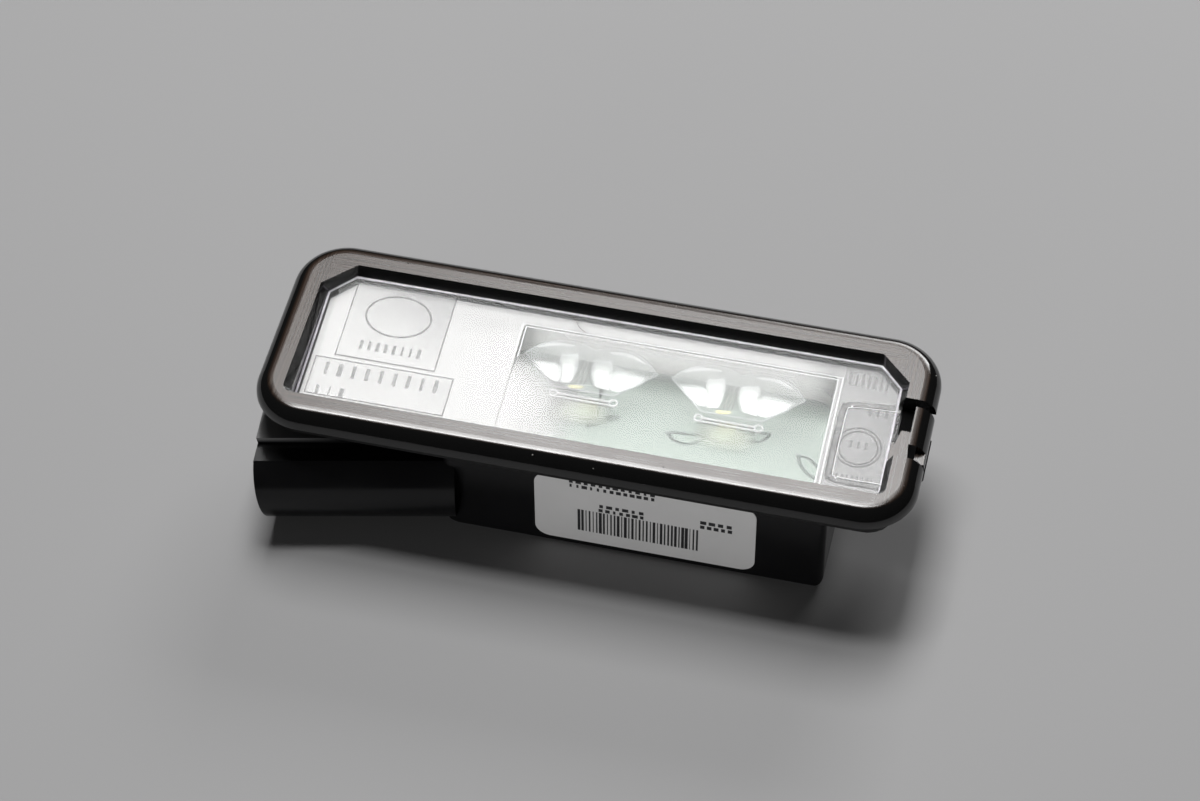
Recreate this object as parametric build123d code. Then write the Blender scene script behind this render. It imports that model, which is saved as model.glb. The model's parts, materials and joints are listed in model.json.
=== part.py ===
from build123d import *
from math import atan, cos, degrees, radians, sin
import os

# Number plate lamp: a black frame round a sunk clear lens, a box with the board behind it,
# and a round plug shroud that leaves the box at the left. Millimetres, lens side up (+Z),
# long side along X, plug at -X and snap catch at +X. Z = 0 is the underside of the rim,
# which is the face that meets the car's panel.

# Rim and the opening in it
rim_length = 86.0
rim_width = 31.0
rim_height = 2.4
rim_corner = 7.0
rim_edge = 2.3                # round from the flat top to the outer edge
opening_margin_end = 4.0      # flat and round together, at the two ends
opening_margin_side = 4.1     # the same along the long sides
opening_chamfer = 4.0         # the two corners away from the label
opening_corner = 1.2          # the two corners on the label side
inner_slope = 0.7             # how far the inner wall leans in, long sides
inner_slope_end = 0.8         # the same at the ends
inner_slope_depth = 1.4
lens_chamfer = 3.1
lip_depth = 3.0               # the rim's inner lip reaches down to the lens

# Notch with the snap catch, at the right end
notch_half = 4.85
tongue_low = -2.65
tongue_high = 3.6
tongue_thickness = 1.5
catch_length = 9.0            # how far the catch hangs below the rim
catch_nose = 0.9
catch_nose_height = 2.3
catch_nose_slope = 0.4        # the nose's upper face
catch_nose_edge = 0.5
ledge_height = 1.0
ledge_inset = 1.0
ledge_side_gap = 0.4
bridge_height = 1.1
bridge_wide = 1.3

# Lens
lens_sink = 1.95              # how much deeper it lies at the label side
lens_thickness = 1.1
lens_lap = 0.4                # lens edge that the rim covers
field_depth = 0.25
field_past = (0.9, 0.2, 0.1)  # past the white frame's window, right, front and back
pad_height = 0.2
pad_upper = (3.65, 13.25, 1.1, 11.8)   # from the end, length, from the far side, width
pad_lower = (1.3, 18.3, 13.6, 5.8)
fit_clearance = 0.1

# Collar under the rim, seal and box
rim_over_end = 3.4            # rim outside the collar, at the ends
rim_over_side = 3.0
collar_height = 3.5
collar_corner = 2.8
collar_floor = 0.8
ledge_width = 0.8             # seat under the lens's edge
seal_thickness = 0.8
box_inset_right = 7.4         # from the collar's end
box_length = 50.1
box_depth = 17.2              # from the rim's underside to the box's flat back
box_wall_end = 1.6
box_floor = 1.5
box_corner = 1.0
box_back_round_left = 2.2
box_back_round_right = 1.2
hook_length = 3.0
hook_width = 9.0
hook_thickness = 1.5
hook_root = 2.0

# Plug shroud
shroud_turn = 12.7            # degrees in plan, the mouth comes towards the label side
shroud_radius = 6.4
shroud_wall = 1.2
shroud_flat = 5.45            # flat on top, above the axis
shroud_rib = 6.45             # top of the raised rib, above the axis
shroud_rib_front = -0.4
shroud_rib_back = 4.6
shroud_reach = 23.05          # along X, from the box to the middle of the mouth
shroud_out = 1.46             # middle of the mouth in front of the box's front
mouth_rake = 9.0              # degrees, the mouth looks a little down
mouth_turn = 5.1              # degrees in plan, the mouth's own face
mouth_spare = 4.0             # drawn past the mouth, then trimmed
bulkhead = 2.6
blade_recess = 8.0
blade_width = 2.8
blade_thickness = 0.8
blade_offset = 1.4
blade_reach = 29.0            # from the mouth to the upright leg
leg_above = 0.6               # leg above the board

# Board and what is on it
board_drop = 2.1              # board's face below the collar
board_thickness = 1.6
board_gap = 0.3
board_corner = 1.0
hole_margin = 0.2
post_radius = 2.0
post_inset_end = 2.9
post_inset_side = 2.6
post_inset_plug = 8.8         # clear of the blades
led_spacing = 18.4
led_y = 0.4
led_size = 3.0
led_height = 0.65
led_corner = 0.25
phosphor_size = 2.3
phosphor_depth = 0.3
phosphor_corner = 0.4
solder_foot = 1.0
solder_top = 0.62
solder_height = 0.4

# Clear optics over the light chips
optic_spacing = 19.5
optic_shift = -1.4            # middle of the pair from the middle of the window
optic_foot = (8.0, 3.0)
optic_foot_front = 0.3
optic_foot_rise = 2.2         # above the board
optic_gap = 0.85              # between the crown and the lens
optic_crown = (17.8, 7.9)     # width from tip to tip, and how far back the lobes reach
optic_crown_front = 0.2
optic_tip_y = 4.9
optic_dip_y = 7.4             # between the two lobes
optic_foot_dip = 0.3
optic_lobe_place = 0.6        # of half the width
optic_leg_radius = 0.45
optic_leg_inset = 0.5
optic_hollow = 1.2

# White inner frame
frame_plate = 0.5
frame_wall_y = 8.4
frame_rib = 1.0
window_inset_left = 4.4       # from the box's inner wall
window_inset_right = 0.8
frame_inset_left = 1.4
frame_room_corner = 3.0
window_corner = 0.6

# Small parts on the back of the board, placed from its middle
driver_place = (1.9, 0.0)
driver_size = (4.9, 3.9, 1.5)
driver_pins = 4
driver_pin_pitch = 1.27
driver_pin = (0.4, 6.0, 0.3)
diode_place = (-12.6, 4.6)
diode_size = (4.3, 2.6, 2.1)
diode_tabs = (5.2, 1.5, 0.3)
guard_place = (-12.6, -0.6)
guard_size = (4.6, 3.6, 2.3)
guard_tabs = (5.6, 2.1, 0.3)
resistor_size = (1.25, 2.0, 0.5)
resistor_row = (7.9, 3.4, 2.6, 4)      # first place, pitch and number
capacitor_size = (1.25, 2.0, 1.0)
capacitor_places = ((-6.5, 4.4), (-6.5, 0.4), (7.9, -3.6))

# Label
label_inset_left = 12.25      # from the box's end
label_inset_right = 8.9
label_low = 0.85              # above the box's back
label_corner = 2.0
label_thickness = 0.1

# Worked out from the above
reach = 60.0                  # past everything, for cuts
half_l = rim_length / 2
half_w = rim_width / 2
open_x = half_l - opening_margin_end
open_y = half_w - opening_margin_side
lens_open_x = open_x - inner_slope_end
lens_open_y = open_y - inner_slope
lens_x = lens_open_x + lens_lap
lens_y = lens_open_y + lens_lap
slope = lens_sink / (2 * lens_open_y)
lens_tilt = degrees(atan(slope))
lens_far_top = rim_height - inner_slope_depth
collar_x = half_l - rim_over_end
collar_y = half_w - rim_over_side
seat_x = lens_x + fit_clearance
seat_y = lens_y + fit_clearance
well_x = seat_x - ledge_width
well_y = seat_y - ledge_width
floor_z = -collar_height + collar_floor
catch_x = collar_x + seal_thickness + fit_clearance
box_right = collar_x - box_inset_right
box_left = box_right - box_length
room_left = box_left + box_wall_end
room_right = box_right - box_wall_end
room_floor = -box_depth + box_floor
board_top = -collar_height - board_drop
board_bottom = board_top - board_thickness
board_middle = (room_left + room_right) / 2
window_left = room_left + window_inset_left
window_right = room_right - window_inset_right
shroud_z = -box_depth + shroud_radius
mouth_x = box_left - shroud_reach
mouth_y = -collar_y - shroud_out
optic_middle = (window_left + window_right) / 2 + optic_shift
led_xs = [optic_middle + side * led_spacing / 2 for side in (-1, 1)]
optic_xs = [optic_middle + side * optic_spacing / 2 for side in (-1, 1)]
posts = (
    (room_left + post_inset_end, well_y - post_inset_side),
    (room_right - post_inset_end, well_y - post_inset_side),
    (room_right - post_inset_end, post_inset_side - well_y),
    (room_left + post_inset_plug, post_inset_side - well_y),
)


def lens_top_at(y):
    return lens_far_top + (y - lens_open_y) * slope


def block(x0, x1, y0, y1, z0, z1):
    return Pos((x0 + x1) / 2, (y0 + y1) / 2, (z0 + z1) / 2) * Box(x1 - x0, y1 - y0, z1 - z0)


def opening_face(x, y, chamfer_size, z=0.0):
    """Rectangle with its two +Y corners cut off and its two -Y corners rounded."""
    outline = Polyline(
        (-x, -y), (x, -y), (x, y - chamfer_size), (x - chamfer_size, y),
        (-x + chamfer_size, y), (-x, y - chamfer_size), close=True,
    )
    face = make_face(outline)
    low = face.vertices().group_by(Axis.Y)[0]
    return Pos(0, 0, z) * fillet(low, opening_corner)


def opening_column(x, y, z0, z1):
    return extrude(opening_face(x, y, lens_chamfer, z0), z1 - z0)


def rounded_slab(x, y, corner, z0, z1):
    return Pos(0, 0, z0) * extrude(RectangleRounded(2 * x, 2 * y, corner), z1 - z0)


def below_lens_plane(offset):
    """Everything under a plane that lies offset above the lens's upper face."""
    slab = Pos(0, 0, -reach / 2) * Box(2 * reach, 2 * reach, reach)
    return Pos(0, 0, lens_top_at(0.0) + offset) * Rot(lens_tilt, 0, 0) * slab


def lens_envelope(grow):
    """The lens, or the space that it needs when it is made larger all round."""
    tall = opening_column(lens_x + grow, lens_y + grow, -collar_height, rim_height)
    return (tall & below_lens_plane(grow)) - below_lens_plane(-lens_thickness - grow)


def pad(place):
    """A raised field at the plug end of the lens."""
    from_end, length, from_side, width = place
    x = -lens_open_x + from_end
    y = lens_open_y - from_side
    return block(x, x + length, y - width, y, -reach / 2, reach / 2)


def make_lens():
    plate = lens_envelope(0.0)
    pads = (pad(pad_upper) + pad(pad_lower)) & opening_column(lens_x, lens_y, -collar_height, rim_height)
    raised = (pads & below_lens_plane(pad_height)) - below_lens_plane(-pad_height / 2)
    right, front, back = field_past
    field = block(window_left, window_right + right, -frame_wall_y - front, frame_wall_y + back, -reach, reach)
    return plate + raised - (field & below_lens_plane(-lens_thickness + field_depth))


def rim_body():
    rim = rounded_slab(half_l, half_w, rim_corner, 0, rim_height)
    return fillet(rim.edges().group_by(Axis.Z)[-1], rim_edge)


def inner_cutter():
    upper = opening_face(open_x, open_y, opening_chamfer, rim_height)
    lower = opening_face(lens_open_x, lens_open_y, lens_chamfer, lens_far_top)
    return loft([lower, upper], ruled=True) + opening_column(lens_open_x, lens_open_y, -reach, lens_far_top)


def catch_arm():
    """The arm hangs from the tongue beside the seal and carries a nose that grips the panel."""
    outer = catch_x + tongue_thickness
    arm = block(catch_x, outer, tongue_low, tongue_high, -catch_length, catch_nose_slope)
    nose_top = -collar_height + fit_clearance
    nose = Polyline(
        (outer, nose_top),
        (outer + catch_nose, nose_top - catch_nose_slope),
        (outer + catch_nose, nose_top - catch_nose_slope - catch_nose_edge),
        (outer, nose_top - catch_nose_height),
        close=True,
    )
    side = Plane(origin=(0, tongue_low, 0), x_dir=(1, 0, 0), z_dir=(0, -1, 0))
    return arm + extrude(side * make_face(nose), tongue_low - tongue_high)


def catch_bridge():
    """Joins the tongue to the rim on the label side of the notch, below the top face."""
    inner = lens_open_x + lens_lap / 2
    foot = Polyline(
        (collar_x - lens_lap, lens_lap), (catch_x + fit_clearance, lens_lap),
        (catch_x + fit_clearance, -notch_half), (inner, -notch_half),
        (inner, -notch_half + bridge_wide), close=True,
    )
    return extrude(make_face(foot), bridge_height)


def make_bezel():
    rim = rim_body()
    lip = opening_column(lens_x, lens_y, -lip_depth, 0)
    ring = rim + (lip - below_lens_plane(0.0)) - inner_cutter() - lens_envelope(fit_clearance / 2)
    notch = block(lens_open_x - 1, reach, -notch_half, notch_half, 0, reach)
    tongue = rim & block(catch_x, reach, tongue_low, tongue_high, 0, rim_height)
    ledge = rim & block(catch_x + ledge_inset, reach, -notch_half + ledge_side_gap, tongue_low, 0, ledge_height)
    return ring - notch + tongue + ledge + catch_bridge() + catch_arm()


def shroud_point(along, across=0.0):
    """A point of the axis, by its distance in from the mouth and its offset across."""
    c, s = cos(radians(shroud_turn)), sin(radians(shroud_turn))
    return (mouth_x + c * along - s * across, mouth_y + s * along + c * across, shroud_z)


def shroud_plane(along):
    c, s = cos(radians(shroud_turn)), sin(radians(shroud_turn))
    return Plane(origin=shroud_point(along), x_dir=(-s, c, 0), z_dir=(c, s, 0))


def shroud_section():
    """Circle with a flat on top and a rib that stands on the flat."""
    kept = Pos(0, shroud_flat - shroud_radius) * Rectangle(2 * shroud_radius, 2 * shroud_radius)
    middle = (shroud_rib_front + shroud_rib_back) / 2
    rib = Pos(middle, shroud_rib / 2) * Rectangle(shroud_rib_back - shroud_rib_front, shroud_rib)
    return (Circle(shroud_radius) & kept) + rib


def mouth_trim():
    """Everything outside the leaning face of the mouth."""
    turn = Rot(0, 0, mouth_turn) * Rot(0, -mouth_rake, 0)
    return Pos(mouth_x, mouth_y, shroud_z) * turn * Pos(-reach / 2, 0, 0) * Box(reach, reach, reach)


def make_shroud():
    length = (box_left + box_wall_end / 2 - mouth_x) / cos(radians(shroud_turn))
    start = shroud_plane(-mouth_spare)
    tube = extrude(start * shroud_section(), length + mouth_spare)
    bore = extrude(start * Circle(shroud_radius - shroud_wall), length - bulkhead + mouth_spare)
    return tube - bore - mouth_trim()


def blade_bar(side):
    """A blade from its tip to the far side of its upright leg."""
    section = Pos(side * blade_offset, 0) * Rectangle(blade_thickness, blade_width)
    return extrude(shroud_plane(blade_recess) * section, blade_reach - blade_recess + blade_thickness / 2)


def leg_place(side):
    x, y, _ = shroud_point(blade_reach, side * blade_offset)
    return x, y


def box_body():
    """The box from two outlines, one seen from above and one from the label side."""
    middle = (box_left + box_right) / 2
    length = box_right - box_left
    plan = extrude(RectangleRounded(length, 2 * collar_y, box_corner), box_depth - collar_height / 2)
    plan = Pos(middle, 0, -box_depth) * plan
    outline = Pos(middle, -box_depth / 2) * Rectangle(length, box_depth)
    low = outline.vertices().group_by(Axis.Y)[0].sort_by(Axis.X)
    outline = fillet(low[0], box_back_round_left)
    low = outline.vertices().group_by(Axis.Y)[0].sort_by(Axis.X)
    outline = fillet(low[-1], box_back_round_right)
    upright = Plane(origin=(0, collar_y, 0), x_dir=(1, 0, 0), z_dir=(0, -1, 0))
    return plan & extrude(upright * outline, 2 * collar_y)


def panel_hook():
    """Grips the panel's edge at the plug end, opposite the catch."""
    low = -collar_height - hook_thickness
    half = hook_width / 2
    finger = block(-collar_x - hook_length, -collar_x + hook_root, -half, half, low, -collar_height)
    return finger + block(-collar_x + fit_clearance, -collar_x + hook_root, -half, half, low, floor_z)


def make_housing():
    collar = rounded_slab(collar_x, collar_y, collar_corner, -collar_height, 0)
    body = collar + box_body() + panel_hook() + make_shroud()
    body -= opening_column(seat_x, seat_y, -reach, 1) - below_lens_plane(-lens_thickness)
    body -= opening_column(well_x, well_y, floor_z, 1)
    body -= block(room_left, room_right, -well_y, well_y, room_floor, 0)
    height = board_bottom - room_floor
    for x, y in posts:
        body += Pos(x, y, room_floor + height / 2) * Cylinder(post_radius, height)
    return body - blade_bar(-1) - blade_bar(1)


def make_seal():
    outer = rounded_slab(
        collar_x + seal_thickness, collar_y + seal_thickness, collar_corner + seal_thickness, -collar_height, 0
    )
    outer = fillet(outer.edges().group_by(Axis.Z)[0], seal_thickness / 3)
    return outer - rounded_slab(collar_x, collar_y, collar_corner, -collar_height, 0)


def make_terminal(side):
    blade = blade_bar(side)
    tip = blade.faces().sort_by(Axis.X)[0]
    blade = chamfer(tip.edges(), blade_thickness / 4)
    x, y = leg_place(side)
    low = shroud_z - blade_width / 2
    high = board_top + leg_above
    leg = Box(blade_thickness, blade_thickness, high - low)
    return blade + Pos(x, y, (low + high) / 2) * Rot(0, 0, shroud_turn) * leg


def make_board():
    board = block(
        room_left + board_gap, room_right - board_gap, -well_y + board_gap, well_y - board_gap,
        board_bottom, board_top,
    )
    board = fillet(board.edges().filter_by(Axis.Z), board_corner)
    for side in (-1, 1):
        x, y = leg_place(side)
        board -= Pos(x, y, board_top) * Cylinder(blade_thickness / 2 + hole_margin, 3 * board_thickness)
    return board


def make_solder():
    joints = []
    for side in (-1, 1):
        x, y = leg_place(side)
        ring = Pos(x, y, board_top + solder_height / 2) * Cone(solder_foot, solder_top, solder_height)
        leg = Box(blade_thickness, blade_thickness, 3 * solder_height)
        joints.append(ring - Pos(x, y, board_top) * Rot(0, 0, shroud_turn) * leg)
    return Compound(joints)


def square_chip(x, size, z0, z1, corner):
    half = size / 2
    body = block(x - half, x + half, led_y - half, led_y + half, z0, z1)
    return fillet(body.edges().filter_by(Axis.Z), corner)


def make_phosphor(x):
    top = board_top + led_height
    return square_chip(x, phosphor_size, top - phosphor_depth, top, phosphor_corner)


def make_led(x):
    return square_chip(x, led_size, board_top, board_top + led_height, led_corner) - make_phosphor(x)


def two_lobes(width, front, tip, back, dip, flat, z):
    """Outline with a straight front and two rounded lobes that meet at the middle."""
    half = width / 2
    lobe = half * optic_lobe_place
    edges = [
        ThreePointArc((half, tip), (lobe, back), (0, dip)),
        ThreePointArc((0, dip), (-lobe, back), (-half, tip)),
        Line((-half, tip), (-flat, front)),
        Line((-flat, front), (flat, front)),
        Line((flat, front), (half, tip)),
    ]
    return Pos(0, 0, z) * make_face(edges)


def make_optic(x):
    """A clear two-lobed body that widens from its foot over the light chip up to the lens."""
    foot_w, foot_d = optic_foot
    crown_w, crown_back = optic_crown
    half = foot_w / 2
    front = optic_foot_front
    middle = front + foot_d / 2
    back = front + foot_d
    foot_z = board_top + optic_foot_rise
    crown_z = lens_top_at(0.0) - lens_thickness - optic_gap
    foot = two_lobes(foot_w, front, middle, back, back - optic_foot_dip, half - optic_leg_radius, foot_z)
    crown = two_lobes(crown_w, optic_crown_front, optic_tip_y, crown_back, optic_dip_y, half, crown_z)
    body = loft([foot, crown], ruled=True) - Pos(0, middle, foot_z) * Sphere(optic_hollow)
    height = foot_z + optic_leg_radius - board_top
    leg = Pos(0, 0, board_top + height / 2) * Cylinder(optic_leg_radius, height)
    for side in (-1, 1):
        body += Pos(side * (half - optic_leg_inset), front + optic_leg_inset / 2, 0) * leg
        body += Pos(side * half / 2, back - optic_leg_inset, 0) * leg
    return Pos(x, 0, 0) * body


def make_inner_frame():
    """White plate close under the lens, with walls down to the board round the window."""
    gap = fit_clearance
    x, y = well_x - gap, well_y - gap
    under = below_lens_plane(-lens_thickness - gap)
    plate = (opening_column(x, y, -reach, reach) & under) - below_lens_plane(-lens_thickness - gap - frame_plate)
    far_rib = block(-x + lens_chamfer, x - lens_chamfer, y - frame_rib, y, floor_z, rim_height)
    walls = block(room_left + board_gap, room_right - board_gap, -y, y, board_top, rim_height)
    room_end = room_left + frame_inset_left
    room = RectangleRounded(window_right - room_end, 2 * frame_wall_y, frame_room_corner)
    room = Pos((room_end + window_right) / 2, 0, board_top) * extrude(room, reach)
    window = RectangleRounded(window_right - window_left, 2 * frame_wall_y, window_corner)
    window = Pos((window_left + window_right) / 2, 0, floor_z - frame_plate) * extrude(window, reach)
    body = plate + ((far_rib + walls) & under) - (room - plate) - window
    for side in (-1, 1):
        leg_x, leg_y = leg_place(side)
        body -= Pos(leg_x, leg_y, board_top) * Cylinder(solder_foot + gap, 2 * (leg_above + gap))
    return body


def under_board(place, size):
    """A plain block soldered to the back of the board."""
    x, y = place
    length, width, height = size
    return Pos(board_middle + x, y, board_bottom - height / 2) * Box(length, width, height)


def make_driver():
    body = under_board(driver_place, driver_size)
    for i in range(driver_pins):
        x = driver_place[0] + (i - (driver_pins - 1) / 2) * driver_pin_pitch
        body += under_board((x, driver_place[1]), driver_pin)
    return body


def make_resistors():
    first, y, pitch, number = resistor_row
    return Compound([under_board((first + i * pitch, y), resistor_size) for i in range(number)])


def make_capacitors():
    return Compound([under_board(place, capacitor_size) for place in capacitor_places])


def make_label():
    low = -box_depth + label_low
    high = -collar_height - fit_clearance
    left = box_left + label_inset_left
    right = box_right - label_inset_right
    face = RectangleRounded(right - left, high - low, label_corner)
    middle = ((left + right) / 2, -collar_y, (low + high) / 2)
    return extrude(Plane(origin=middle, x_dir=(1, 0, 0), z_dir=(0, -1, 0)) * face, label_thickness)


def build_nodes():
    return {
        "housing": make_housing(),
        "bezel": make_bezel(),
        "lens": make_lens(),
        "body_seal": make_seal(),
        "inner_frame": make_inner_frame(),
        "circuit_board": make_board(),
        "led_body_left": make_led(led_xs[0]),
        "led_body_right": make_led(led_xs[1]),
        "phosphor_left": make_phosphor(led_xs[0]),
        "phosphor_right": make_phosphor(led_xs[1]),
        "optic_left": make_optic(optic_xs[0]),
        "optic_right": make_optic(optic_xs[1]),
        "driver_chip": make_driver(),
        "polarity_diode": under_board(diode_place, diode_size) + under_board(diode_place, diode_tabs),
        "surge_guard": under_board(guard_place, guard_size) + under_board(guard_place, guard_tabs),
        "resistors": make_resistors(),
        "capacitors": make_capacitors(),
        "terminal_1": make_terminal(-1),
        "terminal_2": make_terminal(1),
        "solder_joints": make_solder(),
        "label": make_label(),
    }


os.makedirs("parts", exist_ok=True)
for name, shape in build_nodes().items():
    export_step(shape, f"parts/{name}.step")
    print(name, round(shape.volume, 2))
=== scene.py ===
import bpy
import bmesh
import json
import math
from mathutils import Matrix, Vector


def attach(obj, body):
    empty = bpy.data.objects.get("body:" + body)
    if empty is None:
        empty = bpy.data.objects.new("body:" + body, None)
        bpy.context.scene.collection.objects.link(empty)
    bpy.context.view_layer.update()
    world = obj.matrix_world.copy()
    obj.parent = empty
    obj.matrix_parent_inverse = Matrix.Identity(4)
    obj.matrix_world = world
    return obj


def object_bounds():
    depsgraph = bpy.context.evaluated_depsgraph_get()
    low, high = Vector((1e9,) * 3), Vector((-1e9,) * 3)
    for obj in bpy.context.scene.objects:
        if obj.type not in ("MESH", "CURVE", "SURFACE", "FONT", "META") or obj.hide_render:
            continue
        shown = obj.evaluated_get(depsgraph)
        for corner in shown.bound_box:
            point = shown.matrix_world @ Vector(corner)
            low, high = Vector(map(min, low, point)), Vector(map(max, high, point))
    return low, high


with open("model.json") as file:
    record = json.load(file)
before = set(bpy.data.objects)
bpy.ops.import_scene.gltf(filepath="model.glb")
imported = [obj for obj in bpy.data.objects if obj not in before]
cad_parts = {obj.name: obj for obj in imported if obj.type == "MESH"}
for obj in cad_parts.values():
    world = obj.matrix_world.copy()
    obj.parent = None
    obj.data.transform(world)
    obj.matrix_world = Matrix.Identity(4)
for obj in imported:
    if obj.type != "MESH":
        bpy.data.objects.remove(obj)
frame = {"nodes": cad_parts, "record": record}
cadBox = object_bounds()
cadNodes = frame["nodes"]
mm = 0.001
print("frame loaded", len(cadNodes), "nodes")


# Camera, floor and light

cameraSet = {
    "place": (0.06609, -0.28276, 0.34504),
    "right": (0.97478, 0.22313, -0.00351),
    "up": (-0.1691, 0.74883, 0.64083),
    "focal": 105.305,
    "sensor": 36.0,
}
floorSet = {"half": 2.5, "color": (0.386, 0.384, 0.387), "paler": 1.04, "patchScale": 9.0, "gap": 0.00002,
            "rough": 0.6}
lightSet = {
    "over": {"place": (-0.15, 0.24, 1.0), "aim": (-0.15, 0.24, 0.0), "size": (0.42, 0.155), "power": 3.4},
    "back": {"place": (-0.12, 0.59, 1.0), "aim": (-0.12, 0.59, 0.0), "size": (0.36, 0.48), "power": 6.9},
    "low": {"place": (0.22, 1.36, 0.72), "aim": (0.0, 0.0, 0.0), "size": (0.7, 0.4), "power": 8.0},
    "front": {"place": (-0.3, -1.25, 0.10), "aim": (0.0, 0.0, 0.0), "size": (0.5, 0.16), "power": 4.8,
              "matt": True},
    "strip": {"place": (-0.08, 0.235, 0.98), "aim": (-0.08, 0.235, 0.0), "size": (0.60, 0.09), "power": 1.9,
              "shineOnly": True},
    "worldColor": (0.62, 0.62, 0.62),
    "worldStrength": 0.03,
}


def addCamera():
    right = Vector(cameraSet["right"]).normalized()
    up = Vector(cameraSet["up"])
    up = (up - right * up.dot(right)).normalized()
    back = right.cross(up)
    data = bpy.data.cameras.new("photoCamera")
    data.sensor_fit = "HORIZONTAL"
    data.sensor_width = cameraSet["sensor"]
    data.lens = cameraSet["focal"]
    data.clip_start = 0.01
    camera = bpy.data.objects.new("photoCamera", data)
    turn = Matrix((right, up, back)).transposed().to_4x4()
    camera.matrix_world = Matrix.Translation(cameraSet["place"]) @ turn
    bpy.context.collection.objects.link(camera)
    bpy.context.scene.camera = camera


def addAreaLight(name, setting):
    data = bpy.data.lights.new(name, "AREA")
    data.shape = "RECTANGLE"
    data.size, data.size_y = setting["size"]
    data.energy = setting["power"]
    light = bpy.data.objects.new(name, data)
    light.location = setting["place"]
    aim = Vector(setting["aim"]) - Vector(setting["place"])
    if aim.x or aim.y:
        light.rotation_euler = aim.to_track_quat("-Z", "Y").to_euler()
    light.visible_transmission = False      # clear pieces already let it pass straight through
    light.visible_glossy = not setting.get("matt", False)
    light.visible_diffuse = not setting.get("shineOnly", False)
    bpy.context.collection.objects.link(light)


def addWorld():
    world = bpy.data.worlds.new("studio")
    world.use_nodes = True
    back = world.node_tree.nodes["Background"]
    back.inputs["Color"].default_value = (*lightSet["worldColor"], 1)
    back.inputs["Strength"].default_value = lightSet["worldStrength"]
    bpy.context.scene.world = world


# Helpers for node materials

def newMaterial(name):
    material = bpy.data.materials.new(name)
    material.use_nodes = True
    tree = material.node_tree
    return material, tree, tree.nodes["Principled BSDF"]


def addNode(tree, kind, inputs=None, **settings):
    made = tree.nodes.new(kind)
    for key, value in settings.items():
        setattr(made, key, value)
    for key, value in (inputs or {}).items():
        if isinstance(value, bpy.types.NodeSocket):
            tree.links.new(value, made.inputs[key])
        else:
            made.inputs[key].default_value = value
    return made


def objectPlace(tree):
    return addNode(tree, "ShaderNodeTexCoord").outputs["Object"]


def stretched(tree, scale):
    place = objectPlace(tree)
    return addNode(tree, "ShaderNodeMapping", {"Vector": place, "Scale": scale}).outputs["Vector"]


def noise(tree, vector, scale, detail=3.0, roughness=0.5):
    made = addNode(tree, "ShaderNodeTexNoise", {"Vector": vector, "Scale": scale, "Detail": detail,
                                               "Roughness": roughness})
    return made.outputs["Fac"]


def remap(tree, value, fromLow, fromHigh, toLow, toHigh):
    made = addNode(tree, "ShaderNodeMapRange", {0: value, 1: fromLow, 2: fromHigh, 3: toLow, 4: toHigh})
    return made.outputs[0]


def mathNode(tree, operation, a, b=0.0, c=0.0):
    return addNode(tree, "ShaderNodeMath", {0: a, 1: b, 2: c}, operation=operation).outputs[0]


def mixColor(tree, factor, a, b):
    made = addNode(tree, "ShaderNodeMix", data_type="RGBA")
    for socket, value in ((made.inputs[0], factor), (made.inputs[6], a), (made.inputs[7], b)):
        if isinstance(value, bpy.types.NodeSocket):
            tree.links.new(value, socket)
        elif socket.type == "RGBA":
            socket.default_value = (*value, 1)
        else:
            socket.default_value = value
    return made.outputs[2]


def bumpFrom(tree, height, strength, distance):
    return addNode(tree, "ShaderNodeBump", {"Height": height, "Strength": strength,
                                           "Distance": distance}).outputs["Normal"]


def facingUp(tree, low, high):
    # 0 where the surface stands, 1 where it lies flat
    normal = addNode(tree, "ShaderNodeNewGeometry").outputs["Normal"]
    upward = addNode(tree, "ShaderNodeSeparateXYZ", {0: normal}).outputs["Z"]
    return remap(tree, upward, low, high, 0.0, 1.0)


def axisPart(tree, axis):
    return addNode(tree, "ShaderNodeSeparateXYZ", {0: objectPlace(tree)}).outputs[axis]


# Finishes

bumpStep = {"black": 0.00002, "plain": 0.00003}
blackSet = {
    # painted reflection: the brushed top's brown stands for the warm room it mirrors; the lighter lines are
    # its brushing
    "rimTopWithPaintedReflection": {"dark": (0.018, 0.009, 0.005), "light": (0.080, 0.048, 0.031), "rough": (0.22, 0.34)},
    "lineAlong": (22.0, 3400.0, 3400.0), "lineAcross": (3400.0, 22.0, 3400.0),
    "lineSpan": (0.3, 0.75),           # the part of the noise that goes from dark to light
    "lineShare": 0.6,                  # of lines, against patches, in the roughness
    "roughSpan": (0.35, 0.65),
    "patchScale": 110.0, "grainScale": 4200.0, "bump": 0.2,
    "endTurn": (0.0365, 0.0395),       # past this place the brushed lines run across
    "rimEdge": {"color": (0.006, 0.006, 0.006), "rough": 0.075},
    "rimFlat": (0.93, 0.995),          # how flat a face is to count as the brushed top
    "bezelIor": 1.78,
    "topLevel": 0.41,                  # the brushed top mirrors less than the smooth edge
    "housing": {"dark": (0.0045, 0.0045, 0.005), "light": (0.009, 0.009, 0.0095), "rough": (0.16, 0.24)},
    "housingLevel": 0.34,
    "housingPatch": 160.0, "housingGrain": 2600.0, "housingBump": 0.05,
    "paintedSheen": {"x": (-0.0418, -0.0310), "y": (-0.0095, -0.0085), "z": (-0.0052, -0.0046),
              "grey": (0.17, 0.17, 0.17)},     # painted highlight: pale grey in the colour on top of the plug shroud's mouth
}


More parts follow.
